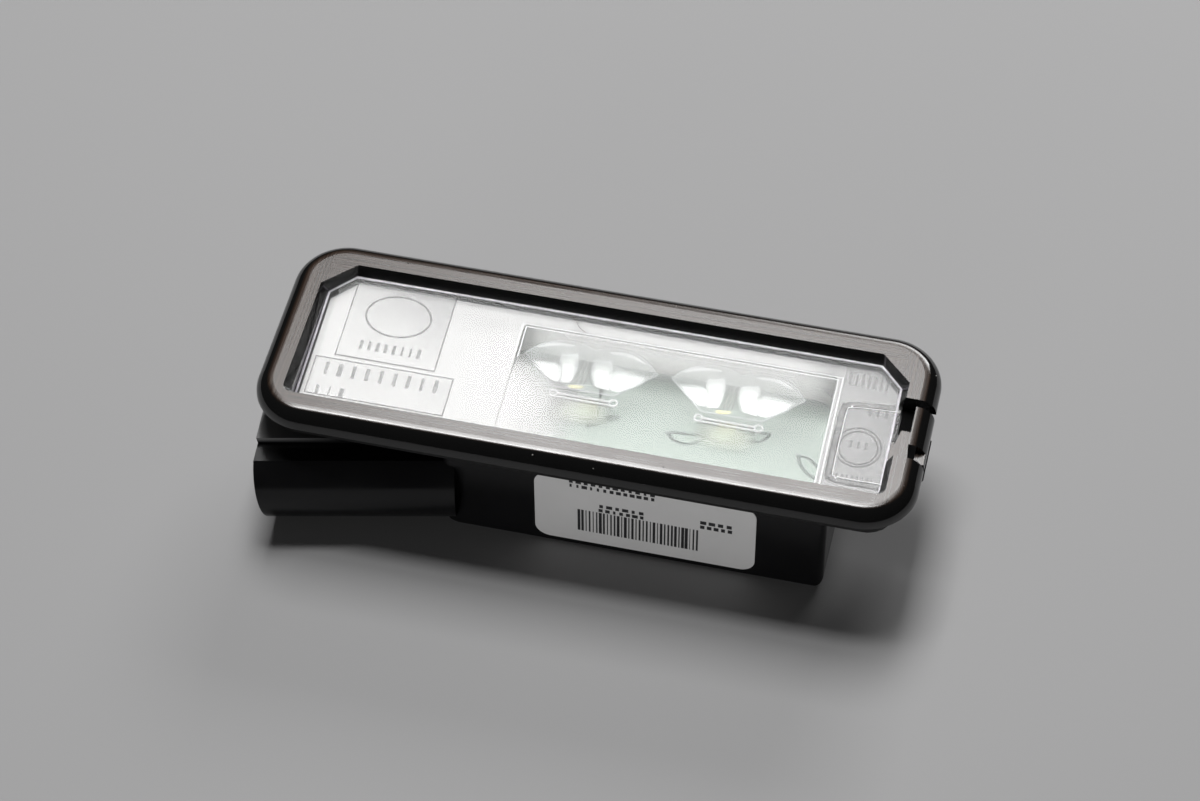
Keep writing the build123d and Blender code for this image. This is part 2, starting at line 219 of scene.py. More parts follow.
def bezelBlack():
    material, tree, shader = newMaterial("polishedBlack")
    setting = blackSet["rimTopWithPaintedReflection"]
    along = noise(tree, stretched(tree, blackSet["lineAlong"]), 1.0, 4.0, 0.6)
    across = noise(tree, stretched(tree, blackSet["lineAcross"]), 1.0, 4.0, 0.6)
    atEnd = remap(tree, mathNode(tree, "ABSOLUTE", axisPart(tree, "X")), *blackSet["endTurn"], 0.0, 1.0)
    lines = mathNode(tree, "MULTIPLY_ADD", atEnd, mathNode(tree, "SUBTRACT", across, along), along)
    patches = noise(tree, objectPlace(tree), blackSet["patchScale"])
    grain = noise(tree, objectPlace(tree), blackSet["grainScale"], 2.0)
    flat = facingUp(tree, *blackSet["rimFlat"])
    # painted reflection: along the brushed lines the top runs from dark to a warm brown, for the room it
    # mirrors
    paleness = remap(tree, lines, *blackSet["lineSpan"], 0.0, 1.0)
    brushed = mixColor(tree, paleness, setting["dark"], setting["light"])
    color = mixColor(tree, flat, blackSet["rimEdge"]["color"], brushed)
    tree.links.new(color, shader.inputs["Base Color"])
    share = blackSet["lineShare"]
    blend = mathNode(tree, "MULTIPLY_ADD", lines, share, mathNode(tree, "MULTIPLY", patches, 1 - share))
    topRough = remap(tree, blend, *blackSet["roughSpan"], *setting["rough"])
    edgeRough = blackSet["rimEdge"]["rough"]
    rough = mathNode(tree, "MULTIPLY_ADD", flat, mathNode(tree, "SUBTRACT", topRough, edgeRough), edgeRough)
    tree.links.new(rough, shader.inputs["Roughness"])
    shader.inputs["IOR"].default_value = blackSet["bezelIor"]
    shader.inputs["Specular IOR Level"].default_value = blackSet["topLevel"]
    height = mathNode(tree, "MULTIPLY", flat, mathNode(tree, "MULTIPLY_ADD", grain, 0.5, lines))
    tree.links.new(bumpFrom(tree, height, blackSet["bump"], bumpStep["black"]), shader.inputs["Normal"])
    return material


def housingBlack():
    material, tree, shader = newMaterial("mouldedBlack")
    setting = blackSet["housing"]
    patches = noise(tree, objectPlace(tree), blackSet["housingPatch"])
    grain = noise(tree, objectPlace(tree), blackSet["housingGrain"], 2.0)
    paintedSheen = blackSet["paintedSheen"]
    # painted highlight: the colour turns pale grey on top of the shroud's mouth
    shine = mathNode(tree, "MULTIPLY", remap(tree, axisPart(tree, "X"), *paintedSheen["x"], 1.0, 0.0),
                     remap(tree, axisPart(tree, "Z"), *paintedSheen["z"], 0.0, 1.0))
    shine = mathNode(tree, "MULTIPLY", shine, remap(tree, axisPart(tree, "Y"), *paintedSheen["y"], 1.0, 0.0))
    plain = mixColor(tree, patches, setting["dark"], setting["light"])
    tree.links.new(mixColor(tree, shine, plain, paintedSheen["grey"]), shader.inputs["Base Color"])
    tree.links.new(remap(tree, patches, 0.3, 0.7, *setting["rough"]), shader.inputs["Roughness"])
    shader.inputs["Specular IOR Level"].default_value = blackSet["housingLevel"]
    tree.links.new(bumpFrom(tree, grain, blackSet["housingBump"], bumpStep["black"]), shader.inputs["Normal"])
    return material


carrierSet = {
    # painted light: the walls' colour is paler than the top's, for the light the walls lack
    "top": ((0.46, 0.448, 0.444), (0.50, 0.488, 0.484)),
    "wall": ((0.90, 0.88, 0.87), (0.94, 0.92, 0.91)),
    "catchEnd": (0.0255, 0.0285),      # past this place the carrier's colour is darkened: painted shade of the bezel
    "paintedCatchShade": 0.55,
    "patchScale": 140.0, "grainScale": 900.0, "rough": (0.34, 0.46), "flat": (0.5, 0.9), "bump": 0.05,
}


def carrierWhite():
    # painted light: paler where it stands than where it lies, to make up for the little light that reaches
    # the walls of the window
    material, tree, shader = newMaterial("whiteCarrier")
    patches = noise(tree, objectPlace(tree), carrierSet["patchScale"])
    grain = noise(tree, objectPlace(tree), carrierSet["grainScale"], 2.0)
    flat = facingUp(tree, *carrierSet["flat"])
    color = mixColor(tree, flat, mixColor(tree, patches, *carrierSet["wall"]),
                     mixColor(tree, patches, *carrierSet["top"]))
    # painted shade: the colour darkens past the bezel's end
    start, end = carrierSet["catchEnd"]
    paintedShadeFactor = remap(tree, axisPart(tree, "X"), start, end, 1.0, carrierSet["paintedCatchShade"])
    tree.links.new(mixColor(tree, paintedShadeFactor, (0.0, 0.0, 0.0), color), shader.inputs["Base Color"])
    tree.links.new(remap(tree, grain, 0.3, 0.7, *carrierSet["rough"]), shader.inputs["Roughness"])
    tree.links.new(bumpFrom(tree, grain, carrierSet["bump"], bumpStep["plain"]), shader.inputs["Normal"])
    return material


clearSet = {
    "tint": (0.93, 0.938, 0.936), "rough": 0.015, "ior": 1.20, "clear": 0.92,
    "opticTint": (0.50, 0.555, 0.52), "opticPale": (0.78, 0.82, 0.79), "opticAlpha": (0.06, 0.36),
    "opticFade": (0.0018, 0.0076),     # from the foot to the lobes, along Y
    "footTop": -0.0047,                # below this the legs let the view pass
    "streaks": (900.0, 160.0, 160.0), "opticRough": 0.06,
    # painted reflection: the grain, colours and strength of the bright facets
    "facetGrain": (700.0, 240.0, 240.0), "facetRough": 0.25,
    "facetDark": (0.66, 0.70, 0.67), "facetLight": (0.90, 0.90, 0.89), "facetStrength": (0.82, 1.12),
}


def throughShadow(tree, shader):
    # light passes a clear piece, so what is behind it isn't dark
    path = addNode(tree, "ShaderNodeLightPath")
    clear = addNode(tree, "ShaderNodeBsdfTransparent")
    mix = addNode(tree, "ShaderNodeMixShader", {0: path.outputs["Is Shadow Ray"], 1: shader.outputs[0],
                                               2: clear.outputs[0]})
    tree.links.new(mix.outputs[0], tree.nodes["Material Output"].inputs["Surface"])


def lensClear():
    material, tree, shader = newMaterial("clearWindow")
    shader.inputs["Base Color"].default_value = (*clearSet["tint"], 1)
    shader.inputs["Transmission Weight"].default_value = clearSet["clear"]
    shader.inputs["IOR"].default_value = clearSet["ior"]
    shader.inputs["Roughness"].default_value = clearSet["rough"]
    throughShadow(tree, shader)
    return material


def opticClear():
    # clear body that shows more grey-green the deeper the view goes through its lobes
    material, tree, shader = newMaterial("clearOptic")
    low, high = clearSet["opticFade"]
    depth = remap(tree, axisPart(tree, "Y"), low, high, 0.0, 1.0)
    streaks = noise(tree, stretched(tree, clearSet["streaks"]), 1.0, 3.0, 0.6)
    mixed = remap(tree, mathNode(tree, "MULTIPLY", depth, mathNode(tree, "MULTIPLY_ADD", streaks, 1.2, 0.4)),
                  0.0, 1.0, 0.0, 1.0)
    see = remap(tree, mixed, 0.0, 1.0, *clearSet["opticAlpha"])
    body = mathNode(tree, "GREATER_THAN", axisPart(tree, "Z"), clearSet["footTop"])
    color = mixColor(tree, mixed, clearSet["opticPale"], clearSet["opticTint"])
    tree.links.new(color, shader.inputs["Base Color"])
    tree.links.new(mathNode(tree, "MULTIPLY", see, body), shader.inputs["Alpha"])
    shader.inputs["Roughness"].default_value = clearSet["opticRough"]
    throughShadow(tree, shader)
    return material


def plainPlastic(name, dark, light, rough, grainScale=900.0, bump=0.05, patchScale=140.0):
    material, tree, shader = newMaterial(name)
    patches = noise(tree, objectPlace(tree), patchScale)
    grain = noise(tree, objectPlace(tree), grainScale, 2.0)
    tree.links.new(mixColor(tree, patches, dark, light), shader.inputs["Base Color"])
    tree.links.new(remap(tree, grain, 0.3, 0.7, rough * 0.85, rough * 1.15), shader.inputs["Roughness"])
    tree.links.new(bumpFrom(tree, grain, bump, bumpStep["plain"]), shader.inputs["Normal"])
    return material


def metalFinish(name, color, rough):
    material = plainPlastic(name, tuple(0.93 * c for c in color), color, rough, 1500.0, 0.1)
    material.node_tree.nodes["Principled BSDF"].inputs["Metallic"].default_value = 1.0
    return material


def faintPlastic(name, dark, light, alpha, rough=0.3, patchScale=700.0):
    # a faint line or facet: part of what is behind it stays visible. Most of them paint the shade or
    # highlights of moulded relief in clear plastic
    material, tree, shader = newMaterial(name)
    patches = noise(tree, objectPlace(tree), patchScale)
    tree.links.new(mixColor(tree, patches, dark, light), shader.inputs["Base Color"])
    tree.links.new(remap(tree, patches, 0.3, 0.7, *alpha), shader.inputs["Alpha"])
    shader.inputs["Roughness"].default_value = rough
    return material


def facetReflectionPaint():
    # painted reflection: a bright facet inside an optic, white for the light it mirrors, fading towards its
    # rim
    material, tree, shader = newMaterial("facetPaintedReflection")
    fade = addNode(tree, "ShaderNodeAttribute", attribute_name="fade").outputs["Fac"]
    grain = noise(tree, stretched(tree, clearSet["facetGrain"]), 1.0, 3.0, 0.6)
    strength = mathNode(tree, "MULTIPLY", fade, remap(tree, grain, 0.25, 0.75, *clearSet["facetStrength"]))
    color = mixColor(tree, strength, clearSet["facetDark"], clearSet["facetLight"])
    tree.links.new(color, shader.inputs["Base Color"])
    tree.links.new(remap(tree, strength, 0.0, 0.8, 0.0, 1.0), shader.inputs["Alpha"])
    shader.inputs["Roughness"].default_value = clearSet["facetRough"]
    return material


def fadingPlastic(name, dark, light, grainScale, strength, rough):
    # a thin sheet that shows as far as the mesh's own fade says
    material, tree, shader = newMaterial(name)
    fade = addNode(tree, "ShaderNodeAttribute", attribute_name="fade").outputs["Fac"]
    grain = noise(tree, objectPlace(tree), grainScale)
    alpha = mathNode(tree, "MULTIPLY", fade, remap(tree, grain, 0.2, 0.8, *strength))
    tree.links.new(alpha, shader.inputs["Alpha"])
    tree.links.new(mixColor(tree, grain, dark, light), shader.inputs["Base Color"])
    shader.inputs["Roughness"].default_value = rough
    return material


slotFinish = {
    "dark": (0.002, 0.002, 0.002), "light": (0.005, 0.005, 0.005),
    "grainScale": 900.0, "rough": 0.9, "level": 0.1,
}


def slotPaintedShade():
    # painted shade: the dark at the bottom of the catch's slot, with hardly any shine
    material, tree, shader = newMaterial("slotPaintedShade")
    grain = noise(tree, objectPlace(tree), slotFinish["grainScale"])
    color = mixColor(tree, grain, slotFinish["dark"], slotFinish["light"])
    tree.links.new(color, shader.inputs["Base Color"])
    shader.inputs["Roughness"].default_value = slotFinish["rough"]
    shader.inputs["Specular IOR Level"].default_value = slotFinish["level"]
    return material


finishes = {
    "housing_black": housingBlack(),
    "bezel_black": bezelBlack(),
    "clear_lens": lensClear(),
    "seal_rubber": plainPlastic("softSeal", (0.006, 0.006, 0.006), (0.012, 0.012, 0.012), 0.6),
    "white_frame": carrierWhite(),
    "board_pale": plainPlastic("paleBoard", (0.28, 0.345, 0.295), (0.32, 0.385, 0.335), 0.35),
    "led_white": plainPlastic("chipPackage", (0.40, 0.44, 0.39), (0.45, 0.49, 0.43), 0.4),
    "phosphor_yellow": plainPlastic("yellowPhosphor", (0.60, 0.56, 0.22), (0.66, 0.63, 0.30), 0.5),
    "clear_optic": opticClear(),
    "chip_black": plainPlastic("partPackage", (0.02, 0.02, 0.02), (0.035, 0.035, 0.035), 0.45),
    "resistor_dark": plainPlastic("resistorGlaze", (0.02, 0.02, 0.025), (0.05, 0.05, 0.055), 0.3),
    "capacitor_tan": plainPlastic("capacitorClay", (0.42, 0.33, 0.23), (0.52, 0.42, 0.30), 0.5),
    "terminal_brass": metalFinish("tinnedBrass", (0.78, 0.76, 0.70), 0.25),
    "solder_tin": metalFinish("solderTin", (0.78, 0.78, 0.80), 0.22),
    "label_film": plainPlastic("labelFilm", (0.70, 0.695, 0.69), (0.77, 0.765, 0.76), 0.38, 2500.0),
}
extras = {
    # painted shade and highlights of the clear plastic's relief: the dark and grey lines stand for the shade
    # along raised edges, the bright and violet ones for highlights
    "reliefDark": faintPlastic("reliefShade", (0.06, 0.06, 0.06), (0.12, 0.12, 0.12), (0.3, 0.6)),
    "reliefGreyPaintedShade": faintPlastic("reliefGreyPaintedShade", (0.08, 0.08, 0.078), (0.17, 0.17, 0.165), (0.35, 0.65)),
    "reliefWhite": faintPlastic("reliefPaintedHighlight", (0.93, 0.92, 0.94), (0.98, 0.98, 0.98), (0.8, 1.0), 0.12),
    "reliefViolet": faintPlastic("borderPaintedHighlight", (0.62, 0.58, 0.66), (0.86, 0.84, 0.88), (0.5, 0.85), 0.12),
    "facetReflection": facetReflectionPaint(),
    "centreLine": faintPlastic("centreLine", (0.17, 0.145, 0.12), (0.26, 0.23, 0.20), (0.35, 0.6)),
    "yellowPaintedGlint": faintPlastic("yellowPaintedGlint", (0.86, 0.80, 0.26), (0.93, 0.88, 0.42), (0.75, 0.95)),
    "leafGreen": faintPlastic("leafGreen", (0.05, 0.10, 0.075), (0.10, 0.165, 0.13), (0.3, 0.62)),
    # painted shade on the pads, the white ramp with its painted haze, and a painted glow over the chips
    "padShade": fadingPlastic("padShade", (0.13, 0.13, 0.135), (0.19, 0.19, 0.195), 500.0, (0.85, 1.1), 0.3),
    "ramp": fadingPlastic("rampWhiteAndPaintedHaze", (0.50, 0.488, 0.484), (0.55, 0.538, 0.534), 160.0, (1.0, 1.0), 0.4),
    "paintedBloom": fadingPlastic("paintedBloomPale", (0.44, 0.48, 0.39), (0.50, 0.54, 0.44), 900.0, (0.8, 1.1), 0.5),
    "labelInk": plainPlastic("labelInk", (0.018, 0.018, 0.02), (0.035, 0.035, 0.038), 0.5),
    "slotPaintedShade": slotPaintedShade(),
    "dust": plainPlastic("dustWhite", (0.42, 0.41, 0.39), (0.62, 0.61, 0.58), 0.9),
    "hair": plainPlastic("hairBrown", (0.05, 0.035, 0.025), (0.12, 0.085, 0.06), 0.5),
}


def finishNodes():
    slotOf = {row["node"]: row["material_slot"] for row in frame["record"]["subparts"]}
    for name, node in cadNodes.items():
        for slot in node.material_slots:
            slot.material = finishes[slotOf[name]]


def addFloor():
    half = floorSet["half"]
    low = cadBox[0][2] - floorSet["gap"]
    mesh = bpy.data.meshes.new("tableTop")
    mesh.from_pydata([(-half, -half, low), (half, -half, low), (half, half, low), (-half, half, low)], [],
                     [(0, 1, 2, 3)])
    top = bpy.data.objects.new("tableTop", mesh)
    bpy.context.collection.objects.link(top)
    material, tree, shader = newMaterial("greyTable")
    patches = noise(tree, objectPlace(tree), floorSet["patchScale"])
    color = floorSet["color"]
    paler = tuple(c * floorSet["paler"] for c in color)
    tree.links.new(mixColor(tree, patches, color, paler), shader.inputs["Base Color"])
    shader.inputs["Roughness"].default_value = floorSet["rough"]
    mesh.materials.append(material)


# Helpers for added pieces. A surface turns flat places on the lens, board or label into points.

lensPlane = {"side": 10.7, "topAtSide": 1.0, "sink": 1.95, "thickness": 1.1}
boardFace = -5.6
labelFace = -12.6


def onLens(x, y, lift):
    slope = lensPlane["sink"] / (2 * lensPlane["side"])
    return (x * mm, y * mm, (lensPlane["topAtSide"] + (y - lensPlane["side"]) * slope + lift) * mm)


def onBoard(x, y, lift):
    return (x * mm, y * mm, (boardFace + lift) * mm)


def onLabel(x, z, lift):
    return (x * mm, (labelFace - lift) * mm, z * mm)


def newShape():
    return {"points": [], "faces": [], "fade": []}


def mitred(outline, closed):
    # the direction across an outline at each of its points, longer at corners
    count = len(outline)
    across = []
    for i, (x, y) in enumerate(outline):
        before = outline[i - 1] if closed or i else outline[i]
        after = outline[(i + 1) % count] if closed or i < count - 1 else outline[i]
        sides = []
        for a, b in ((before, (x, y)), ((x, y), after)):
            dx, dy = b[0] - a[0], b[1] - a[1]
            far = math.hypot(dx, dy)
            if far > 1e-9:
                sides.append((-dy / far, dx / far))
        nx = sum(side[0] for side in sides) / len(sides)
        ny = sum(side[1] for side in sides) / len(sides)
        size = max(nx * nx + ny * ny, 0.25)
        across.append((nx / size, ny / size))
    return across


def addRidge(shape, outline, width, low, high, surface, closed=False, crest=0.5, taper=False):
    # a raised line along an outline, narrower on top, with closed ends
    across = mitred(outline, closed)
    start = len(shape["points"])
    for i, ((x, y), (nx, ny)) in enumerate(zip(outline, across)):
        if taper:
            part = 0.15 + 0.85 * math.sin(math.pi * i / (len(outline) - 1)) ** 0.7
            nx, ny = nx * part, ny * part
        for offset, lift in ((-0.5, low), (-0.5 * crest, high), (0.5 * crest, high), (0.5, low)):
            shape["points"].append(surface(x + nx * width * offset, y + ny * width * offset, lift))
    count = len(outline)
    for i in range(count if closed else count - 1):
        a, b = start + 4 * i, start + 4 * ((i + 1) % count)
        for k in range(4):
            shape["faces"].append((a + k, b + k, b + (k + 1) % 4, a + (k + 1) % 4))
    if not closed:
        shape["faces"].append(tuple(start + k for k in range(4)))
        end = start + 4 * (count - 1)
        shape["faces"].append(tuple(end + k for k in (3, 2, 1, 0)))


def ovalOutline(cx, cy, rx, ry, steps=48):
    turns = [2 * math.pi * i / steps for i in range(steps)]
    return [(cx + rx * math.cos(turn), cy + ry * math.sin(turn)) for turn in turns]


def smoothLine(points, steps=6):
    # passes through every given point
    ends = [points[0]] + list(points) + [points[-1]]
    out = []
    for i in range(1, len(ends) - 2):
        p0, p1, p2, p3 = ends[i - 1:i + 3]
        for k in range(steps):
            t = k / steps
            out.append(tuple(0.5 * (2 * b + (c - a) * t + (2 * a - 5 * b + 4 * c - d) * t * t
                                    + (3 * b - a - 3 * c + d) * t ** 3)
                             for a, b, c, d in zip(p0, p1, p2, p3)))
    out.append(tuple(points[-1]))
    return out


def addTube(shape, line, radius, sides=8):
    # a closed round line through 3-D points, thinner at both ends
    start = len(shape["points"])
    count = len(line)
    for i, place in enumerate(line):
        here = Vector(place)
        ahead = Vector(line[min(i + 1, count - 1)]) - Vector(line[max(i - 1, 0)])
        ahead.normalize()
        side = ahead.cross(Vector((0, 0, 1))).normalized()
        upward = side.cross(ahead)
        thin = radius * (0.35 if i in (0, count - 1) else 1.0)
        for k in range(sides):
            turn = 2 * math.pi * k / sides
            shape["points"].append(tuple(here + (side * math.cos(turn) + upward * math.sin(turn)) * thin))
    for i in range(count - 1):
        a, b = start + sides * i, start + sides * (i + 1)
        for k in range(sides):
            shape["faces"].append((a + k, b + k, b + (k + 1) % sides, a + (k + 1) % sides))
    shape["faces"].append(tuple(start + k for k in range(sides)))
    shape["faces"].append(tuple(start + sides * (count - 1) + k for k in reversed(range(sides))))


def addSheet(shape, across, along, thick, place, fadeAt):
    # a closed thin sheet over 0..1 by 0..1, with its fade from a rule
    start = len(shape["points"])
    for level in (0.0, -thick):
        for i in range(along + 1):
            for k in range(across + 1):
                u, v = k / across, i / along
                x, y, z = place(u, v)
                shape["points"].append((x, y, z + level * mm))
                shape["fade"].append(fadeAt(u, v))
    row = across + 1
    low = start + row * (along + 1)
    for i in range(along):
        for k in range(across):
            p, q = start + i * row + k, low + i * row + k
            shape["faces"].append((p, p + 1, p + row + 1, p + row))
            shape["faces"].append((q, q + row, q + row + 1, q + 1))
    rim = [i for i in range(across)] + [across + row * i for i in range(along)]
    rim += [row * along + across - i for i in range(across)] + [row * (along - i) for i in range(along)]
    for i, p in enumerate(rim):
        q = rim[(i + 1) % len(rim)]
        shape["faces"].append((start + p, low + p, low + q, start + q))


def addPetal(shape, corners, bulge, rise, thick, soft=0.42, steps=14):
    # a thin curved facet between four corners, fuller in its middle, that fades towards its rim
    a, b, c, d = [Vector(corner) * mm for corner in corners]
    sideways = ((b - a) + (c - d)) / 2

    def place(u, v):
        spot = (a.lerp(b, u)).lerp(d.lerp(c, u), v) + sideways * bulge * (u - 0.5) * math.sin(math.pi * v) * 2
        return spot.x, spot.y, spot.z + rise * math.sin(math.pi * u) * math.sin(math.pi * v) * mm

    def fadeAt(u, v):
        edge = min(u, 1 - u) / soft
        end = min(v / (soft * 1.3), (1 - v) / (soft * 0.35))
        return max(0.0, min(1.0, edge, end))

    addSheet(shape, steps, steps, thick, place, fadeAt)


def between(low, high, share):
    return low + (high - low) * share


def arcThrough(a, b, c, steps=12):
    (ax, ay), (bx, by), (cx, cy) = a, b, c
    d = 2 * (ax * (by - cy) + bx * (cy - ay) + cx * (ay - by))
    aa, bb, cc = ax * ax + ay * ay, bx * bx + by * by, cx * cx + cy * cy
    ux = (aa * (by - cy) + bb * (cy - ay) + cc * (ay - by)) / d
    uy = (aa * (cx - bx) + bb * (ax - cx) + cc * (bx - ax)) / d
    radius = math.hypot(ax - ux, ay - uy)
    first, last = math.atan2(ay - uy, ax - ux), math.atan2(cy - uy, cx - ux)
    turns = [first + (last - first) * i / steps for i in range(steps + 1)]
    return [(ux + radius * math.cos(turn), uy + radius * math.sin(turn)) for turn in turns]


def addSlab(shape, outline, low, high, surface):
    start = len(shape["points"])
    count = len(outline)
    for lift in (low, high):
        shape["points"] += [surface(x, y, lift) for x, y in outline]
    shape["faces"].append(tuple(start + k for k in reversed(range(count))))
    shape["faces"].append(tuple(start + count + k for k in range(count)))
    for k in range(count):
        after = (k + 1) % count
        shape["faces"].append((start + k, start + after, start + count + after, start + count + k))


def finishPiece(name, mesh, material, slotName, smooth=False, clear=False):
    work = bmesh.new()
    work.from_mesh(mesh)
    bmesh.ops.remove_doubles(work, verts=work.verts, dist=1e-8)
    bmesh.ops.recalc_face_normals(work, faces=work.faces)
    for face in work.faces:
        face.smooth = smooth
    work.to_mesh(mesh)
    work.free()
    mesh.materials.clear()
    mesh.materials.append(material)
    piece = bpy.data.objects.new(name, mesh)
    bpy.context.collection.objects.link(piece)
    piece.visible_shadow = not clear
    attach(piece, "root")
    return piece


def shapePiece(name, shape, material, slotName, smooth=False, clear=True):
    mesh = bpy.data.meshes.new(name)
    mesh.from_pydata(shape["points"], [], shape["faces"])
    if shape["fade"]:
        fade = mesh.attributes.new("fade", "FLOAT", "POINT")
        fade.data.foreach_set("value", shape["fade"])
    return finishPiece(name, mesh, material, slotName, smooth, clear)


# Rows of bars, from one Geometry Nodes tree, for the label and the raised rows on the lens

def namedTree(name, inputs):
    # a Geometry Nodes tree, and what its named inputs give
    tree = bpy.data.node_groups.new(name, "GeometryNodeTree")
    face = tree.interface
    face.new_socket("Geometry", in_out="INPUT", socket_type="NodeSocketGeometry")
    for label, kind in inputs:
        face.new_socket(label, in_out="INPUT", socket_type="NodeSocket" + kind)
    face.new_socket("Geometry", in_out="OUTPUT", socket_type="NodeSocketGeometry")
    return tree, tree.nodes.new("NodeGroupInput").outputs


def closeTree(tree, points, instance, size, finish):
    # instances on the points, made real and painted, are the tree's result
    placed = addNode(tree, "GeometryNodeInstanceOnPoints",
                     {"Points": points, "Instance": instance, "Scale": size})
    whole = addNode(tree, "GeometryNodeRealizeInstances", {0: placed.outputs[0]})
    painted = addNode(tree, "GeometryNodeSetMaterial", {"Geometry": whole.outputs[0], "Material": finish})
    end = tree.nodes.new("NodeGroupOutput")
    tree.links.new(painted.outputs[0], end.inputs[0])
    return tree


def barTree():
    tree, given = namedTree("barRow", (
        ("Count", "Int"), ("Pitch", "Float"), ("Height", "Float"), ("Thin", "Float"),
        ("Wide", "Float"), ("Depth", "Float"), ("Seed", "Int"), ("Finish", "Material")))
    step = addNode(tree, "ShaderNodeCombineXYZ", {"X": given["Pitch"]})
    line = addNode(tree, "GeometryNodeMeshLine", {"Count": given["Count"], "Offset": step.outputs[0]})
    width = addNode(tree, "FunctionNodeRandomValue",
                    {2: given["Thin"], 3: given["Wide"], "Seed": given["Seed"]}, data_type="FLOAT")
    size = addNode(tree, "ShaderNodeCombineXYZ",
                   {"X": width.outputs[1], "Y": given["Height"], "Z": given["Depth"]})
    bar = addNode(tree, "GeometryNodeMeshCube")
    return closeTree(tree, line.outputs[0], bar.outputs[0], size.outputs[0], given["Finish"])


def bakedNodes(tree, base, values):
    # the tree's result on a base mesh, as a plain mesh
    carrier = bpy.data.objects.new("carrier", base)
    bpy.context.collection.objects.link(carrier)
    modifier = carrier.modifiers.new("nodes", "NODES")
    modifier.node_group = tree
    for item in tree.interface.items_tree:
        if item.in_out == "INPUT" and item.name in values:
            modifier[item.identifier] = values[item.name]
    carrier.update_tag()
    bpy.context.view_layer.update()
    graph = bpy.context.evaluated_depsgraph_get()
    mesh = bpy.data.meshes.new_from_object(carrier.evaluated_get(graph))
    carrier.modifiers.remove(modifier)
    bpy.data.objects.remove(carrier)
    return mesh


def addBars(shape, tree, finish, row, surface):
    # row: start, middle across, length, height, number, thinnest and widest share of the pitch, lift, seed
    x0, y0, length, height, number, thin, wide, low, high, seed = row
    pitch = length / number
    values = {"Count": number, "Pitch": pitch, "Height": height, "Thin": thin * pitch, "Wide": wide * pitch,
              "Depth": 1.0, "Seed": seed, "Finish": finish}
    mesh = bakedNodes(tree, bpy.data.meshes.new("barBase"), values)
    start = len(shape["points"])
    for vertex in mesh.vertices:
        x, y, z = vertex.co
        lift = high if z > 0 else low
        shape["points"].append(surface(x0 + pitch / 2 + x, y0 + y, lift))
    shape["faces"] += [tuple(start + k for k in face.vertices) for face in mesh.polygons]
    bpy.data.meshes.remove(mesh)


# Raised fields, rings and lines of the lens, drawn in painted shade and painted highlights, with painted
# shade over the pads

lensSet = {
    "padEdges": ((-34.55, -21.3, -2.2, 9.6), (-36.9, -18.6, -8.7, -2.9)),
    "padLift": (0.17, 0.235),
    "padLine": 0.16,
    "oval": (-28.0, 5.2, 4.3, 3.2),
    "ovalLine": 0.26,
    "ovalRise": 0.02,                  # above the other lines
    "rows": (
        (-32.2, -0.05, 8.8, 1.35, 8, 0.16, 0.4, 0.16, 0.23, 3),
        (-36.0, -4.55, 16.4, 1.9, 9, 0.12, 0.34, 0.16, 0.23, 5),
        (-36.2, -7.95, 4.8, 1.3, 3, 0.14, 0.36, 0.16, 0.23, 9),
    ),
    "rightRows": (
        (31.0, 7.75, 5.6, 1.9, 7, 0.2, 0.42, -0.02, 0.06, 11),
        (34.2, 3.2, 3.2, 1.1, 3, 0.2, 0.4, -0.02, 0.06, 12),
        (32.7, -2.1, 3.0, 1.0, 3, 0.2, 0.4, -0.02, 0.06, 13),
        (32.0, -7.3, 5.2, 0.9, 8, 0.2, 0.42, -0.02, 0.06, 14),
    ),
    "shadeThick": 0.006,
    "padShades": (                     # painted shade: edges, lift and how dark the four corners are
        ((-34.55, -21.3, -2.2, 9.6), 0.225, (0.01, 0.02, 0.20, 0.05)),
        ((-36.9, -18.6, -8.7, -2.9), 0.225, (0.02, 0.025, 0.06, 0.03)),
        ((31.9, 37.8, -7.2, 3.4), 0.02, (0.10, 0.13, 0.17, 0.11)),
        ((30.6, 37.9, -9.6, 9.6), 0.008, (0.08, 0.11, 0.16, 0.10)),
    ),
    "rings": ((34.2, -2.45, 2.95, 2.95), (34.25, -2.5, 2.45, 2.5)),
    "ringLine": 0.22,
    "ringLift": (-0.02, 0.07),
    "cornerField": ((37.9, 4.3), (32.6, 3.9), (31.7, 3.3), (31.3, 2.3), (31.25, -6.4), (31.6, -7.4),
                    (32.6, -7.9), (37.9, -7.9)),
    "cornerLine": 0.95,
    "cornerBright": 0.2,
    "cornerInset": (0.5, 0.45),        # the bright line from the grey one, beside it and where it turns
    "cornerTurn": 32.0,                # past this place the line runs lengthwise
    "cornerLift": (-0.02, 0.08),
    "brightLift": (0.0, 0.1),
    "borderLift": (-0.02, 0.03),
    "fieldLift": (-0.02, -0.12),       # under the lens
    "border": ((-38.0, -9.6), (-38.0, 7.5), (-35.0, 10.5), (35.0, 10.5), (38.0, 7.5), (38.0, -9.6),
               (37.2, -10.5), (-37.2, -10.5)),
    "borderLine": 0.3,
    "fieldLines": ((-12.05, -8.5, 30.35, 8.45), (-11.55, -8.1, 29.75, 8.05)),
    "fieldLine": 0.13,
    "fieldStart": 3.2,                 # the line fades into the ramp below this place
}


